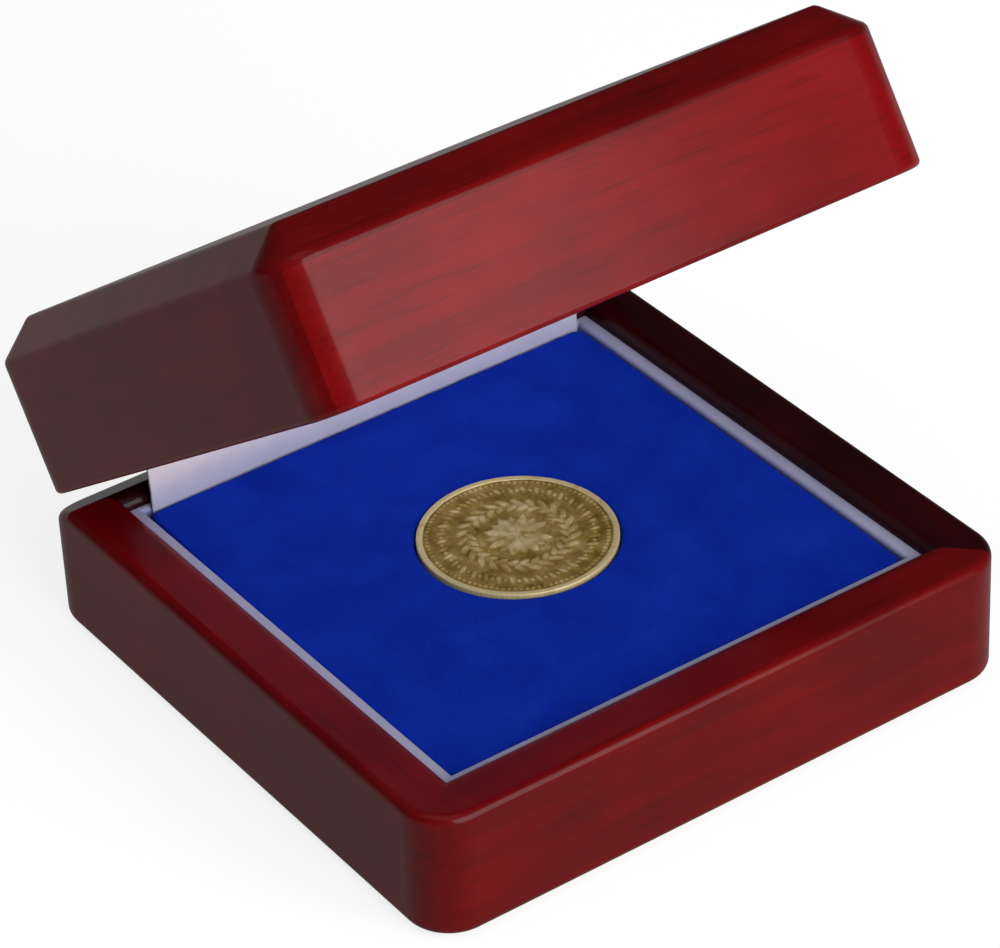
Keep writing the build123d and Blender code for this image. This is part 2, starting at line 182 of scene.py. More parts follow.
def add_node(tree, kind, links=None, values=None, **settings):
    """Adds a node: settings are its properties, values its sockets, and links what feeds them."""
    node = tree.nodes.new(kind)
    for key, value in settings.items():
        setattr(node, key, value)
    for key, value in (values or {}).items():
        node.inputs[key].default_value = value
    for key, source in (links or {}).items():
        tree.links.new(source, node.inputs[key])
    return node


def ramp_stops(node, stops):
    """Gives a colour ramp its stops, as (position, hex code)."""
    elements = node.color_ramp.elements
    while len(elements) < len(stops):
        elements.new(0.5)
    for element, (position, code) in zip(elements, stops):
        element.position = position
        element.color = colour(code)


def new_material(name):
    """Empty material, with its node tree and output."""
    material = bpy.data.materials.new(name)
    material.use_nodes = True
    tree = material.node_tree
    tree.nodes.clear()
    return material, tree, add_node(tree, "ShaderNodeOutputMaterial")


def drawn_out(stretch, long, wide):
    """Texture scale for features long millimetres along the axis stretch and wide across it."""
    return tuple(1 / ((long if axis == stretch else wide) * MM) for axis in range(3))


RED_STAIN = ((0.34, "#560205"), (0.5, "#640307"), (0.68, "#730609"))
# Painted light: a brighter copy of the stain for the lid's front, which faces the lamp.
PAINTED_LIGHT_STAIN = ((0.34, "#6b0409"), (0.5, "#79060b"), (0.68, "#87090e"))
# Painted shade: a near black copy of the stain for the base's back and right rails, where the lid
# shades them.
PAINTED_SHADE_STAIN = ((0.34, "#1e0102"), (0.5, "#2a0203"), (0.68, "#380305"))


def lacquered_mahogany(name, stretch, tilt=0.0, shift=(0.0, 0.0, 0.0), stain_shade_light_stops=RED_STAIN):
    """Stained mahogany under clear gloss lacquer.

    The stain leaves a deep wine red with long soft streaks and short dark pores along the
    board, and the lacquer over it is smooth with very slight orange peel. stretch is which
    axis the grain runs along, tilt turns the grain with the opened lid, and the last argument
    is the ramp of tones, one of three: the mahogany's own stain, a near black copy that is
    painted shade, and a brighter copy that is painted light.
    """
    material, tree, output = new_material(name)
    place = add_node(tree, "ShaderNodeTexCoord")
    turned = add_node(
        tree, "ShaderNodeMapping", {"Vector": place.outputs["Object"]},
        {"Rotation": (tilt, 0.0, 0.0), "Location": shift},
    )
    streaks_at = add_node(
        tree, "ShaderNodeMapping", {"Vector": turned.outputs["Vector"]},
        {"Scale": drawn_out(stretch, long=45, wide=3)},
    )
    pores_at = add_node(
        tree, "ShaderNodeMapping", {"Vector": turned.outputs["Vector"]},
        {"Scale": drawn_out(stretch, long=9, wide=0.5)},
    )
    streaks = add_node(
        tree, "ShaderNodeTexNoise", {"Vector": streaks_at.outputs["Vector"]},
        {"Scale": 1.0, "Detail": 3.0, "Roughness": 0.55, "Distortion": 0.5},
    )
    pores = add_node(
        tree, "ShaderNodeTexNoise", {"Vector": pores_at.outputs["Vector"]},
        {"Scale": 1.0, "Detail": 2.0, "Roughness": 0.5},
    )
    # Cloudy patches of 16 mm in the stain.
    clouds = add_node(
        tree, "ShaderNodeTexNoise", {"Vector": turned.outputs["Vector"]},
        {"Scale": 1 / (16 * MM), "Detail": 2.0, "Roughness": 0.5},
    )
    tone = add_node(
        tree, "ShaderNodeMath", {0: streaks.outputs["Fac"], 1: clouds.outputs["Fac"]},
        operation="ADD",
    )
    half = add_node(tree, "ShaderNodeMath", {0: tone.outputs[0]}, {1: 0.5}, operation="MULTIPLY")
    # Tone of the board from the given ramp. On the base's back and right rails it is painted shade,
    # and on the lid's front it is painted light.
    stain_shade_light_tone = add_node(tree, "ShaderNodeValToRGB", {"Fac": half.outputs[0]})
    ramp_stops(stain_shade_light_tone, stain_shade_light_stops)
    pore_mask = add_node(
        tree, "ShaderNodeMapRange", {"Value": pores.outputs["Fac"]},
        {"From Min": 0.56, "From Max": 0.74, "To Min": 0.0, "To Max": 0.35},
    )
    # Sockets 6 and 7 of a colour mix are its two colours, and output 2 is the result.
    body = add_node(
        tree, "ShaderNodeMix", {"Factor": pore_mask.outputs["Result"], 6: stain_shade_light_tone.outputs["Color"]},
        {7: colour("#240103")}, data_type="RGBA",
    )
    # Orange peel of the sprayed lacquer, in dimples about 1.2 mm across.
    peel = add_node(
        tree, "ShaderNodeTexNoise", {"Vector": turned.outputs["Vector"]},
        {"Scale": 1 / (1.2 * MM), "Detail": 1.0},
    )
    bump = add_node(
        tree, "ShaderNodeBump", {"Height": peel.outputs["Fac"]},
        {"Strength": 0.05, "Distance": 0.04 * MM},
    )
    shader = add_node(
        tree, "ShaderNodeBsdfPrincipled",
        {"Base Color": body.outputs[2], "Normal": bump.outputs["Normal"]},
        {
            "Roughness": 0.42, "Specular IOR Level": 0.07, "Coat Weight": 0.22,
            "Coat Roughness": 0.14,
        },
    )
    tree.links.new(shader.outputs[0], output.inputs["Surface"])
    return material


def painted_blue_bounce(tree, own_colour, along, low, high, code, most):
    """Colour of a pale surface next to the blue velour, with painted blue bounce light and painted
    shade nearest the velour.

    along is a position in metres. The blue-grey code is painted bounce light and shade, mixed in by
    the share most where the position is low millimetres and not at all where it is high
    millimetres.
    """
    share = add_node(
        tree, "ShaderNodeMapRange", {"Value": along},
        {"From Min": low * MM, "From Max": high * MM, "To Min": most, "To Max": 0.0},
        interpolation_type="SMOOTHSTEP",
    )
    tinted = add_node(
        tree, "ShaderNodeMix", {"Factor": share.outputs["Result"], 6: own_colour},
        {7: colour(code)}, data_type="RGBA",
    )
    return tinted.outputs[2]


def white_leatherette():
    """White coated paper, embossed with a fine leather grain, as wrapped round the liners."""
    material, tree, output = new_material("embossed_white_leatherette")
    place = add_node(tree, "ShaderNodeTexCoord")
    # Grain cells of about 0.5 mm.
    cells = add_node(
        tree, "ShaderNodeTexVoronoi", {"Vector": place.outputs["Object"]},
        {"Scale": 1 / (0.5 * MM)}, feature="DISTANCE_TO_EDGE",
    )
    cloud = add_node(
        tree, "ShaderNodeTexNoise", {"Vector": place.outputs["Object"]},
        {"Scale": 1 / (6 * MM), "Detail": 3.0},
    )
    tint = add_node(tree, "ShaderNodeValToRGB", {"Fac": cloud.outputs["Fac"]})
    ramp_stops(tint, ((0.35, "#efecf6"), (0.65, "#faf7fd")))
    height = add_node(tree, "ShaderNodeSeparateXYZ", {"Vector": place.outputs["Object"]})
    # Painted blue bounce light and painted shade on the liners just above the velour, strongest at
    # the pad's level.
    white = painted_blue_bounce(
        tree, tint.outputs["Color"], height.outputs["Z"], low=16.9, high=18.2, code="#2c4f92",
        most=0.85,
    )
    bump = add_node(
        tree, "ShaderNodeBump", {"Height": cells.outputs["Distance"]},
        {"Strength": 0.25, "Distance": 0.05 * MM},
    )
    shader = add_node(
        tree, "ShaderNodeBsdfPrincipled",
        {"Base Color": white, "Normal": bump.outputs["Normal"]}, {"Roughness": 0.55},
    )
    tree.links.new(shader.outputs[0], output.inputs["Surface"])
    return material


def blue_velour():
    """Short pile velour in royal blue: matt, mottled where the pile leans, bright at grazing."""
    material, tree, output = new_material("short_pile_velour")
    place = add_node(tree, "ShaderNodeTexCoord")
    # Pile of about 0.1 mm, made 0.3 mm here so that it shows, and brushed patches of 9 mm.
    pile = add_node(
        tree, "ShaderNodeTexNoise", {"Vector": place.outputs["Object"]},
        {"Scale": 1 / (0.3 * MM), "Detail": 2.0, "Roughness": 0.7},
    )
    brushed = add_node(
        tree, "ShaderNodeTexNoise", {"Vector": place.outputs["Object"]},
        {"Scale": 1 / (9 * MM), "Detail": 3.0, "Roughness": 0.55, "Distortion": 0.4},
    )
    mottle = add_node(
        tree, "ShaderNodeMath", {0: pile.outputs["Fac"], 1: brushed.outputs["Fac"]},
        operation="ADD",
    )
    half = add_node(tree, "ShaderNodeMath", {0: mottle.outputs[0]}, {1: 0.5}, operation="MULTIPLY")
    dye = add_node(tree, "ShaderNodeValToRGB", {"Fac": half.outputs[0]})
    ramp_stops(dye, ((0.36, "#04269a"), (0.5, "#062dab"), (0.66, "#0b35b5")))
    bump = add_node(
        tree, "ShaderNodeBump", {"Height": pile.outputs["Fac"]},
        {"Strength": 0.35, "Distance": 0.12 * MM},
    )
    shader = add_node(
        tree, "ShaderNodeBsdfPrincipled",
        {"Base Color": dye.outputs["Color"], "Normal": bump.outputs["Normal"]},
        {
            "Roughness": 0.95, "Specular IOR Level": 0.08, "Sheen Weight": 0.12,
            "Sheen Roughness": 0.4, "Sheen Tint": colour("#3a62e0"),
        },
    )
    tree.links.new(shader.outputs[0], output.inputs["Surface"])
    return material


def struck_coin_metal():
    """Struck gold coloured coin metal: satin, with an olive tarnish down in the relief."""
    material, tree, output = new_material("struck_gold_coloured_metal")
    place = add_node(tree, "ShaderNodeTexCoord")
    relief = add_node(tree, "ShaderNodeAttribute", attribute_name="relief")
    # Tarnish in patches of 2.5 mm and specks of 0.35 mm.
    patches = add_node(
        tree, "ShaderNodeTexNoise", {"Vector": place.outputs["Object"]},
        {"Scale": 1 / (2.5 * MM), "Detail": 3.0, "Roughness": 0.6},
    )
    specks = add_node(
        tree, "ShaderNodeTexNoise", {"Vector": place.outputs["Object"]},
        {"Scale": 1 / (0.35 * MM), "Detail": 2.0},
    )
    worn = add_node(
        tree, "ShaderNodeMath", {0: patches.outputs["Fac"]}, {1: -0.5}, operation="ADD"
    )
    worn_part = add_node(
        tree, "ShaderNodeMath", {0: worn.outputs[0], 2: relief.outputs["Fac"]}, {1: 1.3},
        operation="MULTIPLY_ADD",
    )
    level = add_node(
        tree, "ShaderNodeMath", {0: specks.outputs["Fac"], 2: worn_part.outputs[0]}, {1: 0.25},
        operation="MULTIPLY_ADD",
    )
    tarnish = add_node(tree, "ShaderNodeValToRGB", {"Fac": level.outputs[0]})
    ramp_stops(
        tarnish,
        ((0.1, "#54450f"), (0.34, "#86702a"), (0.58, "#aa9148"), (0.95, "#e2d49a")),
    )
    bump = add_node(
        tree, "ShaderNodeBump", {"Height": specks.outputs["Fac"]},
        {"Strength": 0.2, "Distance": 0.03 * MM},
    )
    shader = add_node(
        tree, "ShaderNodeBsdfPrincipled",
        {"Base Color": tarnish.outputs["Color"], "Normal": bump.outputs["Normal"]},
        {"Roughness": 0.5, "Metallic": 0.4, "Specular IOR Level": 0.2},
    )
    tree.links.new(shader.outputs[0], output.inputs["Surface"])
    return material


def cloth(name, dark, light, thread, roughness, sheen, blue_bounce_at_foot=0.0):
    """Plain cloth: two crossed sets of threads, thread millimetres apart, in two near tones.

    The last argument is how much painted blue bounce light and painted shade from the velour is
    drawn into the foot of the cloth.
    """
    material, tree, output = new_material(name)
    place = add_node(tree, "ShaderNodeUVMap", uv_map="cloth")
    weft = add_node(
        tree, "ShaderNodeTexWave", {"Vector": place.outputs["UV"]},
        {"Scale": math.pi / (10 * thread * MM), "Distortion": 0.6, "Detail": 1.0},
        bands_direction="X",
    )
    warp = add_node(
        tree, "ShaderNodeTexWave", {"Vector": place.outputs["UV"]},
        {"Scale": math.pi / (10 * thread * MM), "Distortion": 0.6, "Detail": 1.0},
        bands_direction="Y",
    )
    weave = add_node(
        tree, "ShaderNodeMath", {0: weft.outputs["Fac"], 1: warp.outputs["Fac"]},
        operation="MULTIPLY",
    )
    slub = add_node(
        tree, "ShaderNodeTexNoise", {"Vector": place.outputs["UV"]},
        {"Scale": 1 / (4 * MM), "Detail": 3.0},
    )
    mixed = add_node(
        tree, "ShaderNodeMath", {0: weave.outputs[0], 2: slub.outputs["Fac"]}, {1: 0.35},
        operation="MULTIPLY_ADD",
    )
    tone = add_node(tree, "ShaderNodeValToRGB", {"Fac": mixed.outputs[0]})
    ramp_stops(tone, ((0.35, dark), (0.8, light)))
    up = add_node(tree, "ShaderNodeSeparateXYZ", {"Vector": place.outputs["UV"]})
    # Painted blue bounce light and shade at the cloth's foot, next to the velour.
    fabric = painted_blue_bounce(
        tree, tone.outputs["Color"], up.outputs["Y"], low=5.6, high=13.0, code="#6a7fa8",
        most=blue_bounce_at_foot,
    )
    bump = add_node(
        tree, "ShaderNodeBump", {"Height": weave.outputs[0]},
        {"Strength": 0.2, "Distance": 0.04 * MM},
    )
    shader = add_node(
        tree, "ShaderNodeBsdfPrincipled",
        {"Base Color": fabric, "Normal": bump.outputs["Normal"]},
        {"Roughness": roughness, "Sheen Weight": sheen, "Specular IOR Level": 0.3},
    )
    tree.links.new(shader.outputs[0], output.inputs["Surface"])
    return material


def pressed_felt():
    """Pressed wool felt in near black wine red: matt, with loose fibres on top."""
    material, tree, output = new_material("pressed_wool_felt")
    place = add_node(tree, "ShaderNodeTexCoord")
    # Fibre tangles of 0.4 mm over lumps of 3 mm.
    fibres = add_node(
        tree, "ShaderNodeTexNoise", {"Vector": place.outputs["Object"]},
        {"Scale": 1 / (0.4 * MM), "Detail": 4.0, "Roughness": 0.7, "Distortion": 1.2},
    )
    lumps = add_node(
        tree, "ShaderNodeTexNoise", {"Vector": place.outputs["Object"]}, {"Scale": 1 / (3 * MM)}
    )
    both = add_node(
        tree, "ShaderNodeMath", {0: fibres.outputs["Fac"], 1: lumps.outputs["Fac"]},
        operation="MULTIPLY",
    )
    dye = add_node(tree, "ShaderNodeValToRGB", {"Fac": both.outputs[0]})
    ramp_stops(dye, ((0.12, "#1c0a0d"), (0.4, "#3a1c20")))
    bump = add_node(
        tree, "ShaderNodeBump", {"Height": fibres.outputs["Fac"]},
        {"Strength": 0.6, "Distance": 0.15 * MM},
    )
    shader = add_node(
        tree, "ShaderNodeBsdfPrincipled",
        {"Base Color": dye.outputs["Color"], "Normal": bump.outputs["Normal"]},
        {"Roughness": 0.98, "Sheen Weight": 0.35, "Specular IOR Level": 0.1},
    )
    tree.links.new(shader.outputs[0], output.inputs["Surface"])
    return material


def bare_board(name, dark, light, stretch):
    """Thin board or card: fine fibres that run one way, matt."""
    material, tree, output = new_material(name)
    place = add_node(tree, "ShaderNodeTexCoord")
    drawn = add_node(
        tree, "ShaderNodeMapping", {"Vector": place.outputs["Object"]},
        {"Scale": drawn_out(stretch, long=14, wide=0.8)},
    )
    fibre = add_node(
        tree, "ShaderNodeTexNoise", {"Vector": drawn.outputs["Vector"]},
        {"Scale": 1.0, "Detail": 4.0, "Roughness": 0.6},
    )
    tone = add_node(tree, "ShaderNodeValToRGB", {"Fac": fibre.outputs["Fac"]})
    ramp_stops(tone, ((0.35, dark), (0.65, light)))
    bump = add_node(
        tree, "ShaderNodeBump", {"Height": fibre.outputs["Fac"]},
        {"Strength": 0.2, "Distance": 0.05 * MM},
    )
    shader = add_node(
        tree, "ShaderNodeBsdfPrincipled",
        {"Base Color": tone.outputs["Color"], "Normal": bump.outputs["Normal"]},
        {"Roughness": 0.8},
    )
    tree.links.new(shader.outputs[0], output.inputs["Surface"])
    return material


def rolled_brass(name, dark, light, stretch):
    """Rolled brass: warm yellow metal with fine drawing lines along the strip."""
    material, tree, output = new_material(name)
    place = add_node(tree, "ShaderNodeTexCoord")
    # Drawing lines 0.12 mm apart.
    drawn = add_node(
        tree, "ShaderNodeMapping", {"Vector": place.outputs["Object"]},
        {"Scale": drawn_out(stretch, long=5, wide=0.12)},
    )
    lines = add_node(
        tree, "ShaderNodeTexNoise", {"Vector": drawn.outputs["Vector"]},
        {"Scale": 1.0, "Detail": 2.0},
    )
    tone = add_node(tree, "ShaderNodeValToRGB", {"Fac": lines.outputs["Fac"]})
    ramp_stops(tone, ((0.3, dark), (0.7, light)))
    gloss = add_node(
        tree, "ShaderNodeMapRange", {"Value": lines.outputs["Fac"]},
        {"To Min": 0.24, "To Max": 0.42},
    )
    shader = add_node(
        tree, "ShaderNodeBsdfPrincipled",
        {"Base Color": tone.outputs["Color"], "Roughness": gloss.outputs["Result"]},
        {"Metallic": 1.0},
    )
    tree.links.new(shader.outputs[0], output.inputs["Surface"])
    return material


ALONG_X, ALONG_Y, ALONG_Z = range(3)
OPENED_TILT = LID_OPENING  # turns the opened lid's own directions back to the closed lid's

wood_of = {
    "base_front_rail": lacquered_mahogany("mahogany_front_of_base", ALONG_X),
    # The base's back and right rails take the near black stain, which is painted shade from the lid
    # over them.
    "base_back_rail": lacquered_mahogany(
        "mahogany_back_of_base", ALONG_X, shift=(0.3, 0.1, 0), stain_shade_light_stops=PAINTED_SHADE_STAIN
    ),
    "base_left_rail": lacquered_mahogany("mahogany_left_of_base", ALONG_Y),
    "base_right_rail": lacquered_mahogany(
        "mahogany_right_of_base", ALONG_Y, shift=(0.2, 0.5, 0), stain_shade_light_stops=PAINTED_SHADE_STAIN
    ),
    # The lid's front takes the brighter stain, which is painted light where the lamp falls
    # strongest.
    "lid_front_rail": lacquered_mahogany(
        "mahogany_front_of_lid", ALONG_X, OPENED_TILT, stain_shade_light_stops=PAINTED_LIGHT_STAIN
    ),
    "lid_back_rail": lacquered_mahogany(
        "mahogany_back_of_lid", ALONG_X, OPENED_TILT, (0.4, 0.2, 0)
    ),
    "lid_left_rail": lacquered_mahogany("mahogany_left_of_lid", ALONG_Y, OPENED_TILT),
    "lid_right_rail": lacquered_mahogany(
        "mahogany_right_of_lid", ALONG_Y, OPENED_TILT, (0.1, 0.3, 0)
    ),
    "lid_top_panel": lacquered_mahogany("mahogany_top_of_lid", ALONG_X, OPENED_TILT),
}
leatherette = white_leatherette()
plywood = bare_board("birch_plywood", "#8a6a42", "#b08b5c", ALONG_X)
greyboard = bare_board("grey_board", "#9d9484", "#bdb3a1", ALONG_Y)
chipboard = bare_board("insert_chipboard", "#8f8068", "#ad9f86", ALONG_X)
leaf_brass = rolled_brass("rolled_brass", "#a37a35", "#d0a65a", ALONG_Z)
screw_brass = rolled_brass("turned_brass", "#9a7433", "#c79f55", ALONG_X)

for node_name, material in wood_of.items():
    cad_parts[node_name].material_slots[0].material = material
for node_name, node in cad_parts.items():
    if node_name.endswith("_liner"):
        node.material_slots[0].material = leatherette
    elif node_name == "base_bottom_panel":
        node.material_slots[0].material = plywood
    elif node_name in ("pad_board", "lid_cushion_board"):
        node.material_slots[0].material = greyboard
    elif node_name == "insert_block":
        node.material_slots[0].material = chipboard
    elif node_name.endswith("_leaf") or node_name.endswith("_pin"):
        node.material_slots[0].material = leaf_brass
    elif node_name.endswith("_screws"):
        node.material_slots[0].material = screw_brass


# ---- velour cover of the insert -----------------------------------------------------
def velour_cover():
    """Velour over the insert board, pressed into the coin's recess and tucked in all round.

    One closed skin. Its rings start in the middle of the recess floor as circles, climb the
    recess wall, roll over its edge, and on the top turn by shares from that circle into the
    insert's outline. They roll over the outer edge, run down the sides, and come back inside
    one cloth's thickness further in. The pile makes both edges slightly uneven.
    """
    count = 760
    cloth_thickness = 0.6
    ceiling = 15.3
    corner = 1.6
    floor_corner = 0.3
    recess_roll = 0.55
    rolled = 0.5
    uneven_by = 0.16
    proud_by = 0.6
    well = RECESS_RADIUS + cloth_thickness
    outline, normal = rounded_outline(INSERT_SIDE, INSERT_FRONT, INSERT_BACK, corner, count)
    middle = (INSERT_FRONT + INSERT_BACK) / 2
    angle = np.arctan2(outline[:, 1], outline[:, 0])
    circle = np.stack([np.cos(angle), np.sin(angle)], axis=-1)
    walk = np.linspace(0, 2 * math.pi, count, endpoint=False)
    loose = 0.5 + 0.5 * ripple(38 * np.cos(walk), 38 * np.sin(walk), 5, 5)
    loose = loose[None, :, None] * uneven_by

    def top_height(flat):
        """Height of the top: a crown that falls to nothing at the sides, and the pile.

        The board sits a little proud at its right and back edges.
        """
        x, y = flat[..., 0], flat[..., 1] - middle
        crown = (1 - (x / INSERT_SIDE) ** 2) * (1 - (y / (INSERT_BACK - middle)) ** 2)
        pile = 0.018 * ripple(x * 2.1, y * 2.1, 11, 5) + 0.02 * ripple(x * 0.35, y * 0.35, 3, 3)
        proud = proud_by * np.maximum(smooth_step(16, 34, x), smooth_step(16, 34, y))
        return VELOUR_BORDER + VELOUR_CROWN * np.clip(crown, 0, 1) + pile + proud

    def with_height(flat, height):
        return np.concatenate([flat, np.broadcast_to(height, flat.shape[:2])[..., None]], axis=-1)

    # Recess floor, with a small radius up into its wall.
    turn = np.linspace(0, math.pi / 2, 5)[1:]
    flat_end = RECESS_RADIUS - floor_corner
    floor_radius = np.concatenate(
        [np.linspace(1.5, flat_end, 8), flat_end + floor_corner * np.sin(turn)]
    )
    floor_height = np.concatenate(
        [np.full(8, RECESS_FLOOR), RECESS_FLOOR + floor_corner * (1 - np.cos(turn))]
    )
    floor = with_height(circle * floor_radius[:, None, None], floor_height[:, None])

    # Rolled edge of the recess: a quarter circle that ends on the top.
    roll = np.linspace(0, math.pi / 2, 8)
    edge_flat = circle * (RECESS_RADIUS + recess_roll * (1 - np.cos(roll)))[:, None, None]
    edge_drop = recess_roll * (1 - np.sin(roll))[:, None]
    edge = with_height(edge_flat, top_height(edge_flat) - edge_drop)

    # The top, from the rolled edge to where the outer edge starts to roll.
    share = np.linspace(0, 1, 52)[1:, None, None]
    inner = circle * (RECESS_RADIUS + recess_roll)
    outer = outline - normal * rolled
    top_flat = inner * (1 - share) + outer * share - normal * loose * share**6
    top = with_height(top_flat, top_height(top_flat))

    # Outer edge and sides.
    roll = np.linspace(0, math.pi / 2, 9)[1:]
    inset = rolled * (1 - np.sin(roll))[:, None, None] + loose
    drop = rolled * (1 - np.cos(roll))[:, None]
    border = top_height(outer)[None, :]
    outer_roll = with_height(outline - normal * inset, border - drop)
    fade = np.linspace(1, 0, 7)[1:, None, None]
    depth = VELOUR_FOOT + (border - rolled - VELOUR_FOOT) * fade[..., 0]
    sides = with_height(outline - normal * loose * fade, depth)

    # Back up inside, under the top, and down round the recess.
    within = outline - normal * cloth_thickness
    inner_foot = with_height(within[None], np.array([[VELOUR_FOOT]]))
    share = np.linspace(0, 1, 6)[:, None, None]
    ceiling_flat = within * (1 - share) + circle * well * share
    under = with_height(ceiling_flat, np.full((6, 1), ceiling))
    well_flat = circle * np.array([well, well * 0.5])[:, None, None]
    well_floor = with_height(well_flat, np.full((2, 1), RECESS_FLOOR - cloth_thickness))

    rings = np.concatenate([floor, edge, top, outer_roll, sides, inner_foot, under, well_floor])
    return closed_skin(
        "velour_cover", (0, 0, RECESS_FLOOR), rings, (0, 0, RECESS_FLOOR - cloth_thickness), 60
    )


velour = velour_cover()
velour.data.materials.append(blue_velour())
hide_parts("velour_pad")
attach(velour, "base")


# ---- coin ---------------------------------------------------------------------------
def petal(radius, angle, count, inner, outer, width, turn=0.0):
    """Height from 0 to 1 of count leaves round the middle, each pointed at both ends."""
    sector = 2 * math.pi / count
    off = (angle - turn + sector / 2) % sector - sector / 2
    along = (radius - inner) / (outer - inner)
    half = width * np.sin(math.pi * np.clip(along, 0, 1)) ** 0.8
    across = np.abs(off) * radius / np.maximum(half, 1e-6)
    return np.sqrt(np.clip(1 - across**2, 0, 1)) * ((along > 0) & (along < 1))


def slanted_leaves(radius, angle, count, middle, reach, width, slant):
    """Height from 0 to 1 of count leaves set round a circle and leaning by slant."""
    sector = 2 * math.pi / count
    off = ((angle + sector / 2) % sector - sector / 2) * middle
    out = radius - middle
    along = (off * math.cos(slant) + out * math.sin(slant)) / reach
    across = (out * math.cos(slant) - off * math.sin(slant)) / width
    body = 1 - along**2 - across**2
    vein = 1 - 0.45 * np.exp(-((across / 0.16) ** 2))
    return np.sqrt(np.clip(body, 0, 1)) * vein


def beads(radius, angle, count, middle, size):
    """Height from 0 to 1 of count round beads on a circle."""
    sector = 2 * math.pi / count
    off = ((angle + sector / 2) % sector - sector / 2) * middle
    return np.sqrt(np.clip(1 - (off**2 + (radius - middle) ** 2) / size**2, 0, 1))


def tallest(*heights):
    """The highest of several reliefs at each point."""
    return functools.reduce(np.maximum, heights)


def obverse(radius, angle):
    """Relief of the upper face: a rosette, a leaf wreath, a band of sprigs and beads."""
    rosette = np.maximum(
        petal(radius, angle, 8, 0.5, 4.6, 1.05), 0.7 * petal(radius, angle, 8, 1.2, 4.2, 0.8, 0.393)
    )
    rosette = np.maximum(rosette, np.sqrt(np.clip(1 - (radius / 0.9) ** 2, 0, 1)))
    wreath = np.maximum(
        slanted_leaves(radius, angle, 26, 7.4, 1.25, 0.46, 0.75),
        slanted_leaves(radius, angle + 0.12, 26, 6.2, 1.1, 0.42, -0.6),
    )
    stem = 0.5 * np.clip(1 - ((radius - 6.8) / 0.22) ** 2, 0, 1)
    sprigs = np.maximum(
        slanted_leaves(radius, angle, 36, 10.2, 0.85, 0.3, 1.2),
        0.8 * beads(radius, angle + 0.087, 36, 10.2, 0.3),
    )
    edge_beads = 0.8 * beads(radius, angle, 96, 12.05, 0.3)
    return tallest(rosette, wreath, stem, sprigs, edge_beads)


def reverse(radius, angle):
    """Relief of the lower face: a plain shield of rays inside a wreath and beads."""
    rays = 0.7 * petal(radius, angle, 24, 2.0, 7.0, 0.5)
    wreath = slanted_leaves(radius, angle, 30, 9.3, 1.3, 0.5, 0.7)
    boss = np.sqrt(np.clip(1 - (radius / 2.2) ** 2, 0, 1))
    edge_beads = 0.8 * beads(radius, angle, 96, 12.05, 0.3)
    return tallest(rays, wreath, boss, edge_beads)


def struck_coin():
    """Coin turned about its axis: relief on both faces inside a raised rim, and a reeded edge.

    The radius and height of each ring follow the blank's outline: field, rim, rounded edge,
    edge, and the same below. The relief adds to the field's height, and the edge's radius
    goes in and out 120 times round.
    """
    count = 840
    field_rings = 76
    angle = np.linspace(0, 2 * math.pi, count, endpoint=False)[None, :]
    rim_height, rim_width, rounding = 0.15, 0.9, 0.2
    field = COIN_RADIUS - rim_width
    relief_height = 0.14
    reeds, reed_depth = 120, 0.045
    # How worn bright the metal is, from 0 to 1: the field, what the relief adds, the rim and
    # the middle of each face.
    field_level, relief_level, rim_level, middle_level = 0.34, 0.36, 0.95, 0.78

    face_radius = np.linspace(0.12, field, field_rings)[:, None]
    soft = smooth_step(0.0, 0.25, field - face_radius)
    upper = obverse(face_radius, angle) * soft
    lower = reverse(face_radius[::2], angle) * soft[::2]

    def rim_rings(sign, base):
        """Rim from the field's edge to the outer edge, seen on the side that sign gives."""
        radius = np.array([field + 0.04, field + 0.14, field + 0.3, COIN_RADIUS - 0.34])
        height = np.array([0.05, 0.13, 0.15, 0.15])
        turn = np.linspace(0, math.pi / 2, 6)
        radius = np.concatenate([radius, COIN_RADIUS - rounding + rounding * np.sin(turn)])
        height = np.concatenate([height, rim_height - rounding + rounding * np.cos(turn)])
        return radius, base + sign * height

    top_field = COIN_TOP - rim_height
    bottom_field = COIN_FOOT + rim_height
    up_radius, up_height = rim_rings(1, top_field)
    low_radius, low_height = rim_rings(-1, bottom_field)
    low_radius, low_height = low_radius[::-1], low_height[::-1]

    radius = np.concatenate([face_radius[:, 0], up_radius, low_radius, face_radius[::-2, 0]])
    radius = np.repeat(radius[:, None], count, axis=1)
    rows = np.arange(radius.shape[0])[:, None]
    edge_row = field_rings + up_radius.size - 0.5
    reeding = reed_depth * (0.5 + 0.5 * np.cos(reeds * angle))
    radius = radius - reeding * np.exp(-((rows - edge_row) ** 2))

    height = np.concatenate([
        top_field + relief_height * upper,
        np.repeat(up_height[:, None], count, axis=1),
        np.repeat(low_height[:, None], count, axis=1),
        (bottom_field - relief_height * lower)[::-1],
    ])
    relief = np.concatenate([
        field_level + relief_level * upper,
        np.full((up_radius.size + low_radius.size, count), rim_level),
        (field_level + relief_level * lower)[::-1],
    ])
    rings = np.stack([radius * np.cos(angle), radius * np.sin(angle), height], axis=-1)
    middle_top = (0, 0, top_field + relief_height)
    middle_bottom = (0, 0, bottom_field - relief_height)
    piece = closed_skin("struck_coin", middle_top, rings, middle_bottom, 50)
    level = piece.data.attributes.new("relief", "FLOAT", "POINT")
    levels = np.append(relief.ravel(), [middle_level, middle_level])
    level.data.foreach_set("value", levels.astype(np.float32))
    return piece


coin = struck_coin()
coin.data.materials.append(struck_coin_metal())
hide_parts("coin")
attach(coin, "coin")


# ---- hinge lining: a strip of cloth from the base into the lid -----------------------
def cloth_map(piece, u, v):
    """UV map named cloth, in metres along the cloth, from one (u, v) pair per vertex."""
    corners = np.zeros(len(piece.data.loops), np.int32)
    piece.data.loops.foreach_get("vertex_index", corners)
    flat = np.stack([u.ravel()[corners], v.ravel()[corners]], axis=-1) * MM
    layer = piece.data.uv_layers.new(name="cloth")
    layer.data.foreach_set("uv", flat.ravel().astype(np.float32))


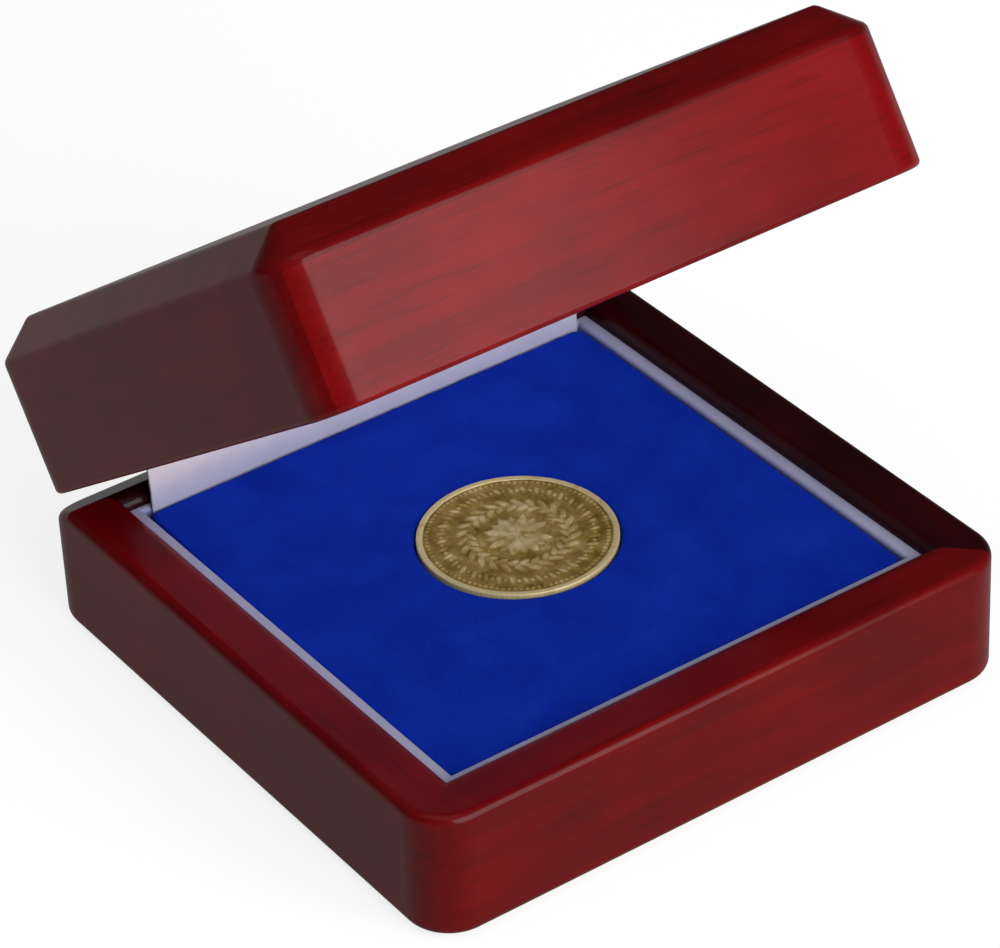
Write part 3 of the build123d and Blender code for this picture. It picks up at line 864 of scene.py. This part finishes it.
def hinge_lining():
    """Strip of cloth that follows a line from side to side of the hinge.

    Along its length s the line climbs straight, turns back by the lid's opening on a radius
    of 13 mm, and goes on straight: y grows by the radius times 1 - cos of the turn and z by
    the radius times its sine. Low waves push the cloth off that line, less near its two ends.
    """
    rows, columns = 120, 241
    held_length = 6.0
    left_edge, right_edge = -34.9, 35.6
    radius = 13.0
    base_y = 35.2
    foot_z = 11.45
    lid_y = 34.9
    lid_reach = 30.25
    lean = LID_OPENING
    lid_foot = opened(np.array([0.0, lid_y, 0.0]))
    lid_end = opened(np.array([0.0, lid_y, lid_reach]))
    fold_z = lid_foot[2] + (base_y - lid_foot[1]) / math.tan(lean)
    tangent = radius * math.tan(lean / 2)
    turn_start = fold_z - tangent - foot_z
    turn_end = turn_start + radius * lean
    length = turn_end + math.hypot(lid_end[1] - base_y, lid_end[2] - fold_z) - tangent
    s = np.linspace(0, length, rows)[:, None]
    x = np.linspace(left_edge, right_edge, columns)[None, :]
    phi = np.clip((s - turn_start) / radius, 0, lean)
    beyond = np.clip(s - turn_end, 0, None)
    y = base_y + radius * (1 - np.cos(phi)) + beyond * math.sin(lean)
    z = foot_z + np.minimum(s, turn_start) + radius * np.sin(phi) + beyond * math.cos(lean)
    free = smooth_step(0, held_length, s) * smooth_step(0, held_length, length - s)
    wave = free * (0.10 * ripple(x * 0.16, s * 0.25, 21, 3) + 0.03 * ripple(x * 0.9, s * 0.7, 8, 3))
    edge = 0.12 * ripple(s * 0.5, np.zeros_like(s), 4, 3)
    x_points = x + edge * (x / right_edge) ** 9
    points = np.stack([
        np.broadcast_to(x_points, wave.shape),
        y - wave * np.cos(phi),
        z + wave * np.sin(phi),
    ], axis=-1)
    piece = mesh_object("hinge_lining_cloth", points, grid_faces(rows, columns))
    cloth_map(piece, *np.broadcast_arrays(x, s))
    thick = piece.modifiers.new("cloth thickness", "SOLIDIFY")
    thick.thickness = 0.35 * MM
    thick.offset = 0.0
    start = np.array([0.0, base_y, foot_z + turn_start]) * MM
    end = np.array([0.0, lid_end[1], lid_end[2]]) * MM
    back = length - turn_end
    end = end - np.array([0.0, math.sin(lean), math.cos(lean)]) * back * MM
    return piece, ((right_edge - left_edge) * MM, length * MM), start, end


lining, lining_flat, fold_start, fold_end = hinge_lining()
# The lining's cloth is drawn greyer than the lid's white satin, and the grey is partly painted
# shade from the lid over it.
lining.data.materials.append(
    cloth(
        "plain_woven_lining", "#d8cfd0", "#e4dbdb", thread=0.28, roughness=0.75, sheen=0.1,
        # Painted blue bounce light and shade from the velour at the lining's foot.
        blue_bounce_at_foot=0.6,
    )
)
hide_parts("hinge_lining")
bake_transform(lining)


# ---- satin cushion in the lid -------------------------------------------------------
def inflate(piece, pinned, cap):
    """Blows the cushion up with a short cloth simulation, on a copy ten times its size.

    The pinned points stay, gravity is off, and no point ends further than cap millimetres
    from where it began.
    """
    bigger = 10.0
    mesh = piece.data
    before = np.zeros(len(mesh.vertices) * 3)
    mesh.vertices.foreach_get("co", before)
    mesh.vertices.foreach_set("co", before * bigger)
    mesh.update()
    group = piece.vertex_groups.new(name="sewn")
    group.add(np.flatnonzero(pinned).tolist(), 1.0, "REPLACE")
    fabric = piece.modifiers.new("blown up", "CLOTH")
    settings = fabric.settings
    settings.quality = 6
    settings.mass = 0.2
    settings.tension_stiffness = 12
    settings.compression_stiffness = 8
    settings.shear_stiffness = 4
    settings.bending_stiffness = 0.05
    settings.vertex_group_mass = "sewn"
    settings.use_pressure = True
    settings.uniform_pressure_force = 4.0
    settings.shrink_min = -0.03
    settings.effector_weights.gravity = 0.0
    fabric.collision_settings.use_collision = False
    for step in range(1, 21):
        bpy.context.scene.frame_set(step)
    blown = piece.evaluated_get(bpy.context.evaluated_depsgraph_get())
    after = np.zeros(len(mesh.vertices) * 3)
    blown.data.vertices.foreach_get("co", after)
    piece.modifiers.remove(fabric)
    bpy.context.scene.frame_set(1)
    piece.vertex_groups.clear()
    moved = (after / bigger - before).reshape(-1, 3)
    distance = np.linalg.norm(moved, axis=1, keepdims=True)
    limit = cap * MM
    moved *= limit * np.tanh(distance / limit) / np.maximum(distance, 1e-12)
    mesh.vertices.foreach_set("co", before + moved.ravel())
    mesh.update()


def satin_cushion():
    """Padded satin panel under the lid's top.

    Its rings are rounded rectangles that shrink towards the middle. Going in by a share t
    the thickness grows as the square root of 1 - (1 - t) squared, a full edge that flattens
    to the crown, and the back is flat on its board. Short gathers run in from the seam.
    """
    count = 280
    root = 35.9
    thickness = 4.6
    seam_gap, corner = 0.5, 4.5
    # Distances in from the seam: the outline keeps its shape up to the first, the edge is
    # full at the second, the rings end at the third, and the middle is at the fourth.
    kept_shape, full_edge, last_ring, centre = 4.0, 7.0, 33, 34.6
    shrinking = 31.5  # from kept_shape on, how far in the outline would shrink to nothing
    side = INSERT_SIDE - seam_gap
    front, back = INSERT_FRONT + seam_gap, INSERT_BACK - seam_gap
    middle = np.array([0.0, (front + back) / 2])
    outline, normal = rounded_outline(side, front, back, corner, count)
    walk = np.linspace(0, 2 * math.pi, count, endpoint=False)
    inward = np.concatenate(
        [np.linspace(0, 1, 13) ** 1.6 * 6, np.linspace(6, last_ring, 21)[1:]]
    )
    share = (inward / centre)[:, None, None]
    shrunk = outline - normal * np.minimum(inward, kept_shape)[:, None, None]
    left_over = 1 - np.clip(inward - kept_shape, 0, None) / shrinking
    pulled = (shrunk - middle) * left_over[:, None, None] + middle
    swell = np.sqrt(np.clip(1 - (1 - np.clip(inward / full_edge, 0, 1)) ** 2, 0, 1))
    crown = 0.35 * np.sin(math.pi / 2 * share[:, :, 0])
    gathers = 0.16 * np.exp(-inward[:, None] / 3.5) * np.sin(90 * walk + 1.5 * np.sin(7 * walk))
    depth = thickness * (0.93 * swell[:, None] + crown * 0.35) + gathers * swell[:, None]
    visible = np.concatenate([pulled, (root - depth)[..., None]], axis=-1)
    hidden_flat = (outline - middle) * np.array([1.0, 0.66, 0.33])[:, None, None] + middle
    hidden = np.concatenate([hidden_flat, np.full((3, count, 1), root)], axis=-1)
    rings = np.concatenate([hidden[::-1], visible[1:]])
    flat = rings.copy()
    crest = (0.0, middle[1], root - depth[-1].mean())
    swung = opened(rings)
    first = opened(np.array([0.0, middle[1], root]))
    last = opened(np.array(crest))
    piece = closed_skin("satin_cushion", first, swung, last)
    pinned = np.zeros(len(piece.data.vertices), bool)
    pinned[: 3 * count] = True
    pinned[-2] = True
    u = np.append(flat[..., 0].ravel(), [0, 0])
    v = np.append(flat[..., 1].ravel(), [middle[1], middle[1]])
    cloth_map(piece, u, v)
    return piece, pinned


cushion, sewn_down = satin_cushion()
inflate(cushion, sewn_down, cap=0.8)
finer = cushion.modifiers.new("finer", "SUBSURF")
finer.levels = 1
finer.render_levels = 1
cushion.data.materials.append(
    cloth("white_satin", "#e4e1e6", "#f6f4f8", thread=0.3, roughness=0.38, sheen=0.2)
)
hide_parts("lid_satin_cushion")
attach(cushion, "lid")


# ---- felt under the base ------------------------------------------------------------
def felt_sole():
    """Felt sheet: a rounded square, its cut edge slightly uneven and rounded over."""
    count = 400
    thickness = 0.6
    half_side, corner = 44.2, 4.7
    outline, normal = rounded_outline(half_side, -half_side, half_side, corner, count)
    walk = np.linspace(0, 2 * math.pi, count, endpoint=False)
    uneven = 0.12 * (0.5 + 0.5 * ripple(30 * np.cos(walk), 30 * np.sin(walk), 9, 4))
    uneven = uneven[None, :, None]
    shares = np.array([0.2, 0.5, 0.8, 0.95])[:, None, None]
    turn = np.linspace(0, math.pi, 9)
    inset = 0.25 * (1 - np.sin(turn))[:, None, None]
    height = thickness / 2 * (1 + np.cos(turn))[:, None]
    edge = outline - normal * (inset + uneven)
    edge = np.concatenate([edge, np.broadcast_to(height, edge.shape[:2])[..., None]], axis=-1)
    top = np.concatenate([outline * shares, np.full((4, count, 1), thickness)], axis=-1)
    bottom = np.concatenate([outline * shares[::-1], np.zeros((4, count, 1))], axis=-1)
    rings = np.concatenate([top, edge, bottom])
    return closed_skin("felt_sole", (0, 0, thickness), rings, (0, 0, 0), 60)


felt = felt_sole()
felt.data.materials.append(pressed_felt())
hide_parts("underside_felt")
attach(felt, "base")


# ---- floor, light and camera --------------------------------------------------------
def studio_floor(seen_glow, mirrored_glow):
    """White paper sweep: white to the camera, dimmer in reflections, with a soft shadow."""
    bpy.ops.mesh.primitive_plane_add(size=6.0, location=(0, 0, -0.00002))
    floor = bpy.context.object
    floor.name = "floor"
    material, tree, output = new_material("white_paper_floor")
    path = add_node(tree, "ShaderNodeLightPath")
    mirrored = add_node(
        tree, "ShaderNodeMath", {0: path.outputs["Is Glossy Ray"]}, {1: mirrored_glow},
        operation="MULTIPLY",
    )
    strength = add_node(
        tree, "ShaderNodeMath", {0: path.outputs["Is Camera Ray"], 2: mirrored.outputs[0]},
        {1: seen_glow}, operation="MULTIPLY_ADD",
    )
    glow = add_node(tree, "ShaderNodeEmission", {"Strength": strength.outputs[0]})
    paper = add_node(tree, "ShaderNodeBsdfDiffuse", values={"Color": (0.3, 0.3, 0.3, 1)})
    both = add_node(tree, "ShaderNodeAddShader", {0: glow.outputs[0], 1: paper.outputs[0]})
    tree.links.new(both.outputs[0], output.inputs["Surface"])
    floor.data.materials.append(material)


def studio_world(ambient, reflected):
    """Plain light from all round, white to the camera and dimmer in reflections."""
    world = bpy.data.worlds.new("studio")
    bpy.context.scene.world = world
    world.use_nodes = True
    tree = world.node_tree
    tree.nodes.clear()
    output = add_node(tree, "ShaderNodeOutputWorld")
    path = add_node(tree, "ShaderNodeLightPath")
    base = add_node(tree, "ShaderNodeBackground", values={"Strength": ambient})
    mirrored = add_node(tree, "ShaderNodeBackground", values={"Strength": reflected})
    white = add_node(tree, "ShaderNodeBackground", values={"Strength": 1.0})
    for background in (base, mirrored, white):
        background.inputs["Color"].default_value = (1, 1, 1, 1)
    to_surfaces = add_node(
        tree, "ShaderNodeMixShader",
        {0: path.outputs["Is Glossy Ray"], 1: base.outputs[0], 2: mirrored.outputs[0]},
    )
    to_all = add_node(
        tree, "ShaderNodeMixShader",
        {0: path.outputs["Is Camera Ray"], 1: to_surfaces.outputs[0], 2: white.outputs[0]},
    )
    tree.links.new(to_all.outputs[0], output.inputs["Surface"])


def soft_lamp(name, direction, distance, size, power):
    """Square soft box, a very little pink, that looks at the case from a direction."""
    lamp = bpy.data.lights.new(name, "AREA")
    lamp.shape = "SQUARE"
    lamp.size = size
    lamp.energy = power
    lamp.color = (1.0, 0.95, 1.0)
    holder = bpy.data.objects.new(name, lamp)
    bpy.context.scene.collection.objects.link(holder)
    way = np.array(direction, float)
    way /= np.linalg.norm(way)
    centre = np.array([0.0, 0.0, 0.03])
    holder.location = centre + way * distance
    back, side, up = camera_axes_from(way)
    holder.rotation_mode = "QUATERNION"
    holder.rotation_quaternion = axes_matrix(side, up, back).to_quaternion()


def camera_axes_from(back):
    """(back, right, up) of a camera or lamp that looks against back, held level."""
    side = np.cross([0.0, 0.0, 1.0], back)
    side /= np.linalg.norm(side)
    return back, side, np.cross(back, side)


def axes_matrix(side, up, back):
    """Rotation matrix with these three columns."""
    return Matrix(np.stack([side, up, back], axis=1).tolist())


def photo_camera():
    """Camera at the photograph's angle, found by fitting the case's traced outlines."""
    azimuth, elevation, roll = (math.radians(a) for a in (-34.03, 34.99, -2.82))
    target = np.array([12.54, 22.04, 9.2]) * MM
    distance = 627.6 * MM
    back = np.array([
        math.sin(azimuth) * math.cos(elevation),
        -math.cos(azimuth) * math.cos(elevation),
        math.sin(elevation),
    ])
    back, side, up = camera_axes_from(back)
    right = side * math.cos(roll) + up * math.sin(roll)
    top = up * math.cos(roll) - side * math.sin(roll)
    camera = bpy.data.objects.new("camera", bpy.data.cameras.new("camera"))
    bpy.context.scene.collection.objects.link(camera)
    camera.location = target + back * distance
    camera.rotation_mode = "QUATERNION"
    camera.rotation_quaternion = axes_matrix(right, top, back).to_quaternion()
    camera.data.lens = 164.25
    camera.data.sensor_width = 36.0
    camera.data.clip_start = 0.01
    camera.data.clip_end = 20.0
    bpy.context.scene.camera = camera


studio_floor(seen_glow=0.8, mirrored_glow=0.3)
studio_world(ambient=0.25, reflected=0.06)
soft_lamp("key_lamp", (0.12, -0.9, 0.4), distance=1.5, size=1.3, power=25.0)
soft_lamp("top_lamp", (-0.2, -0.1, 1.0), distance=1.2, size=0.9, power=1.8)
photo_camera()
bpy.context.scene.view_settings.view_transform = "Standard"
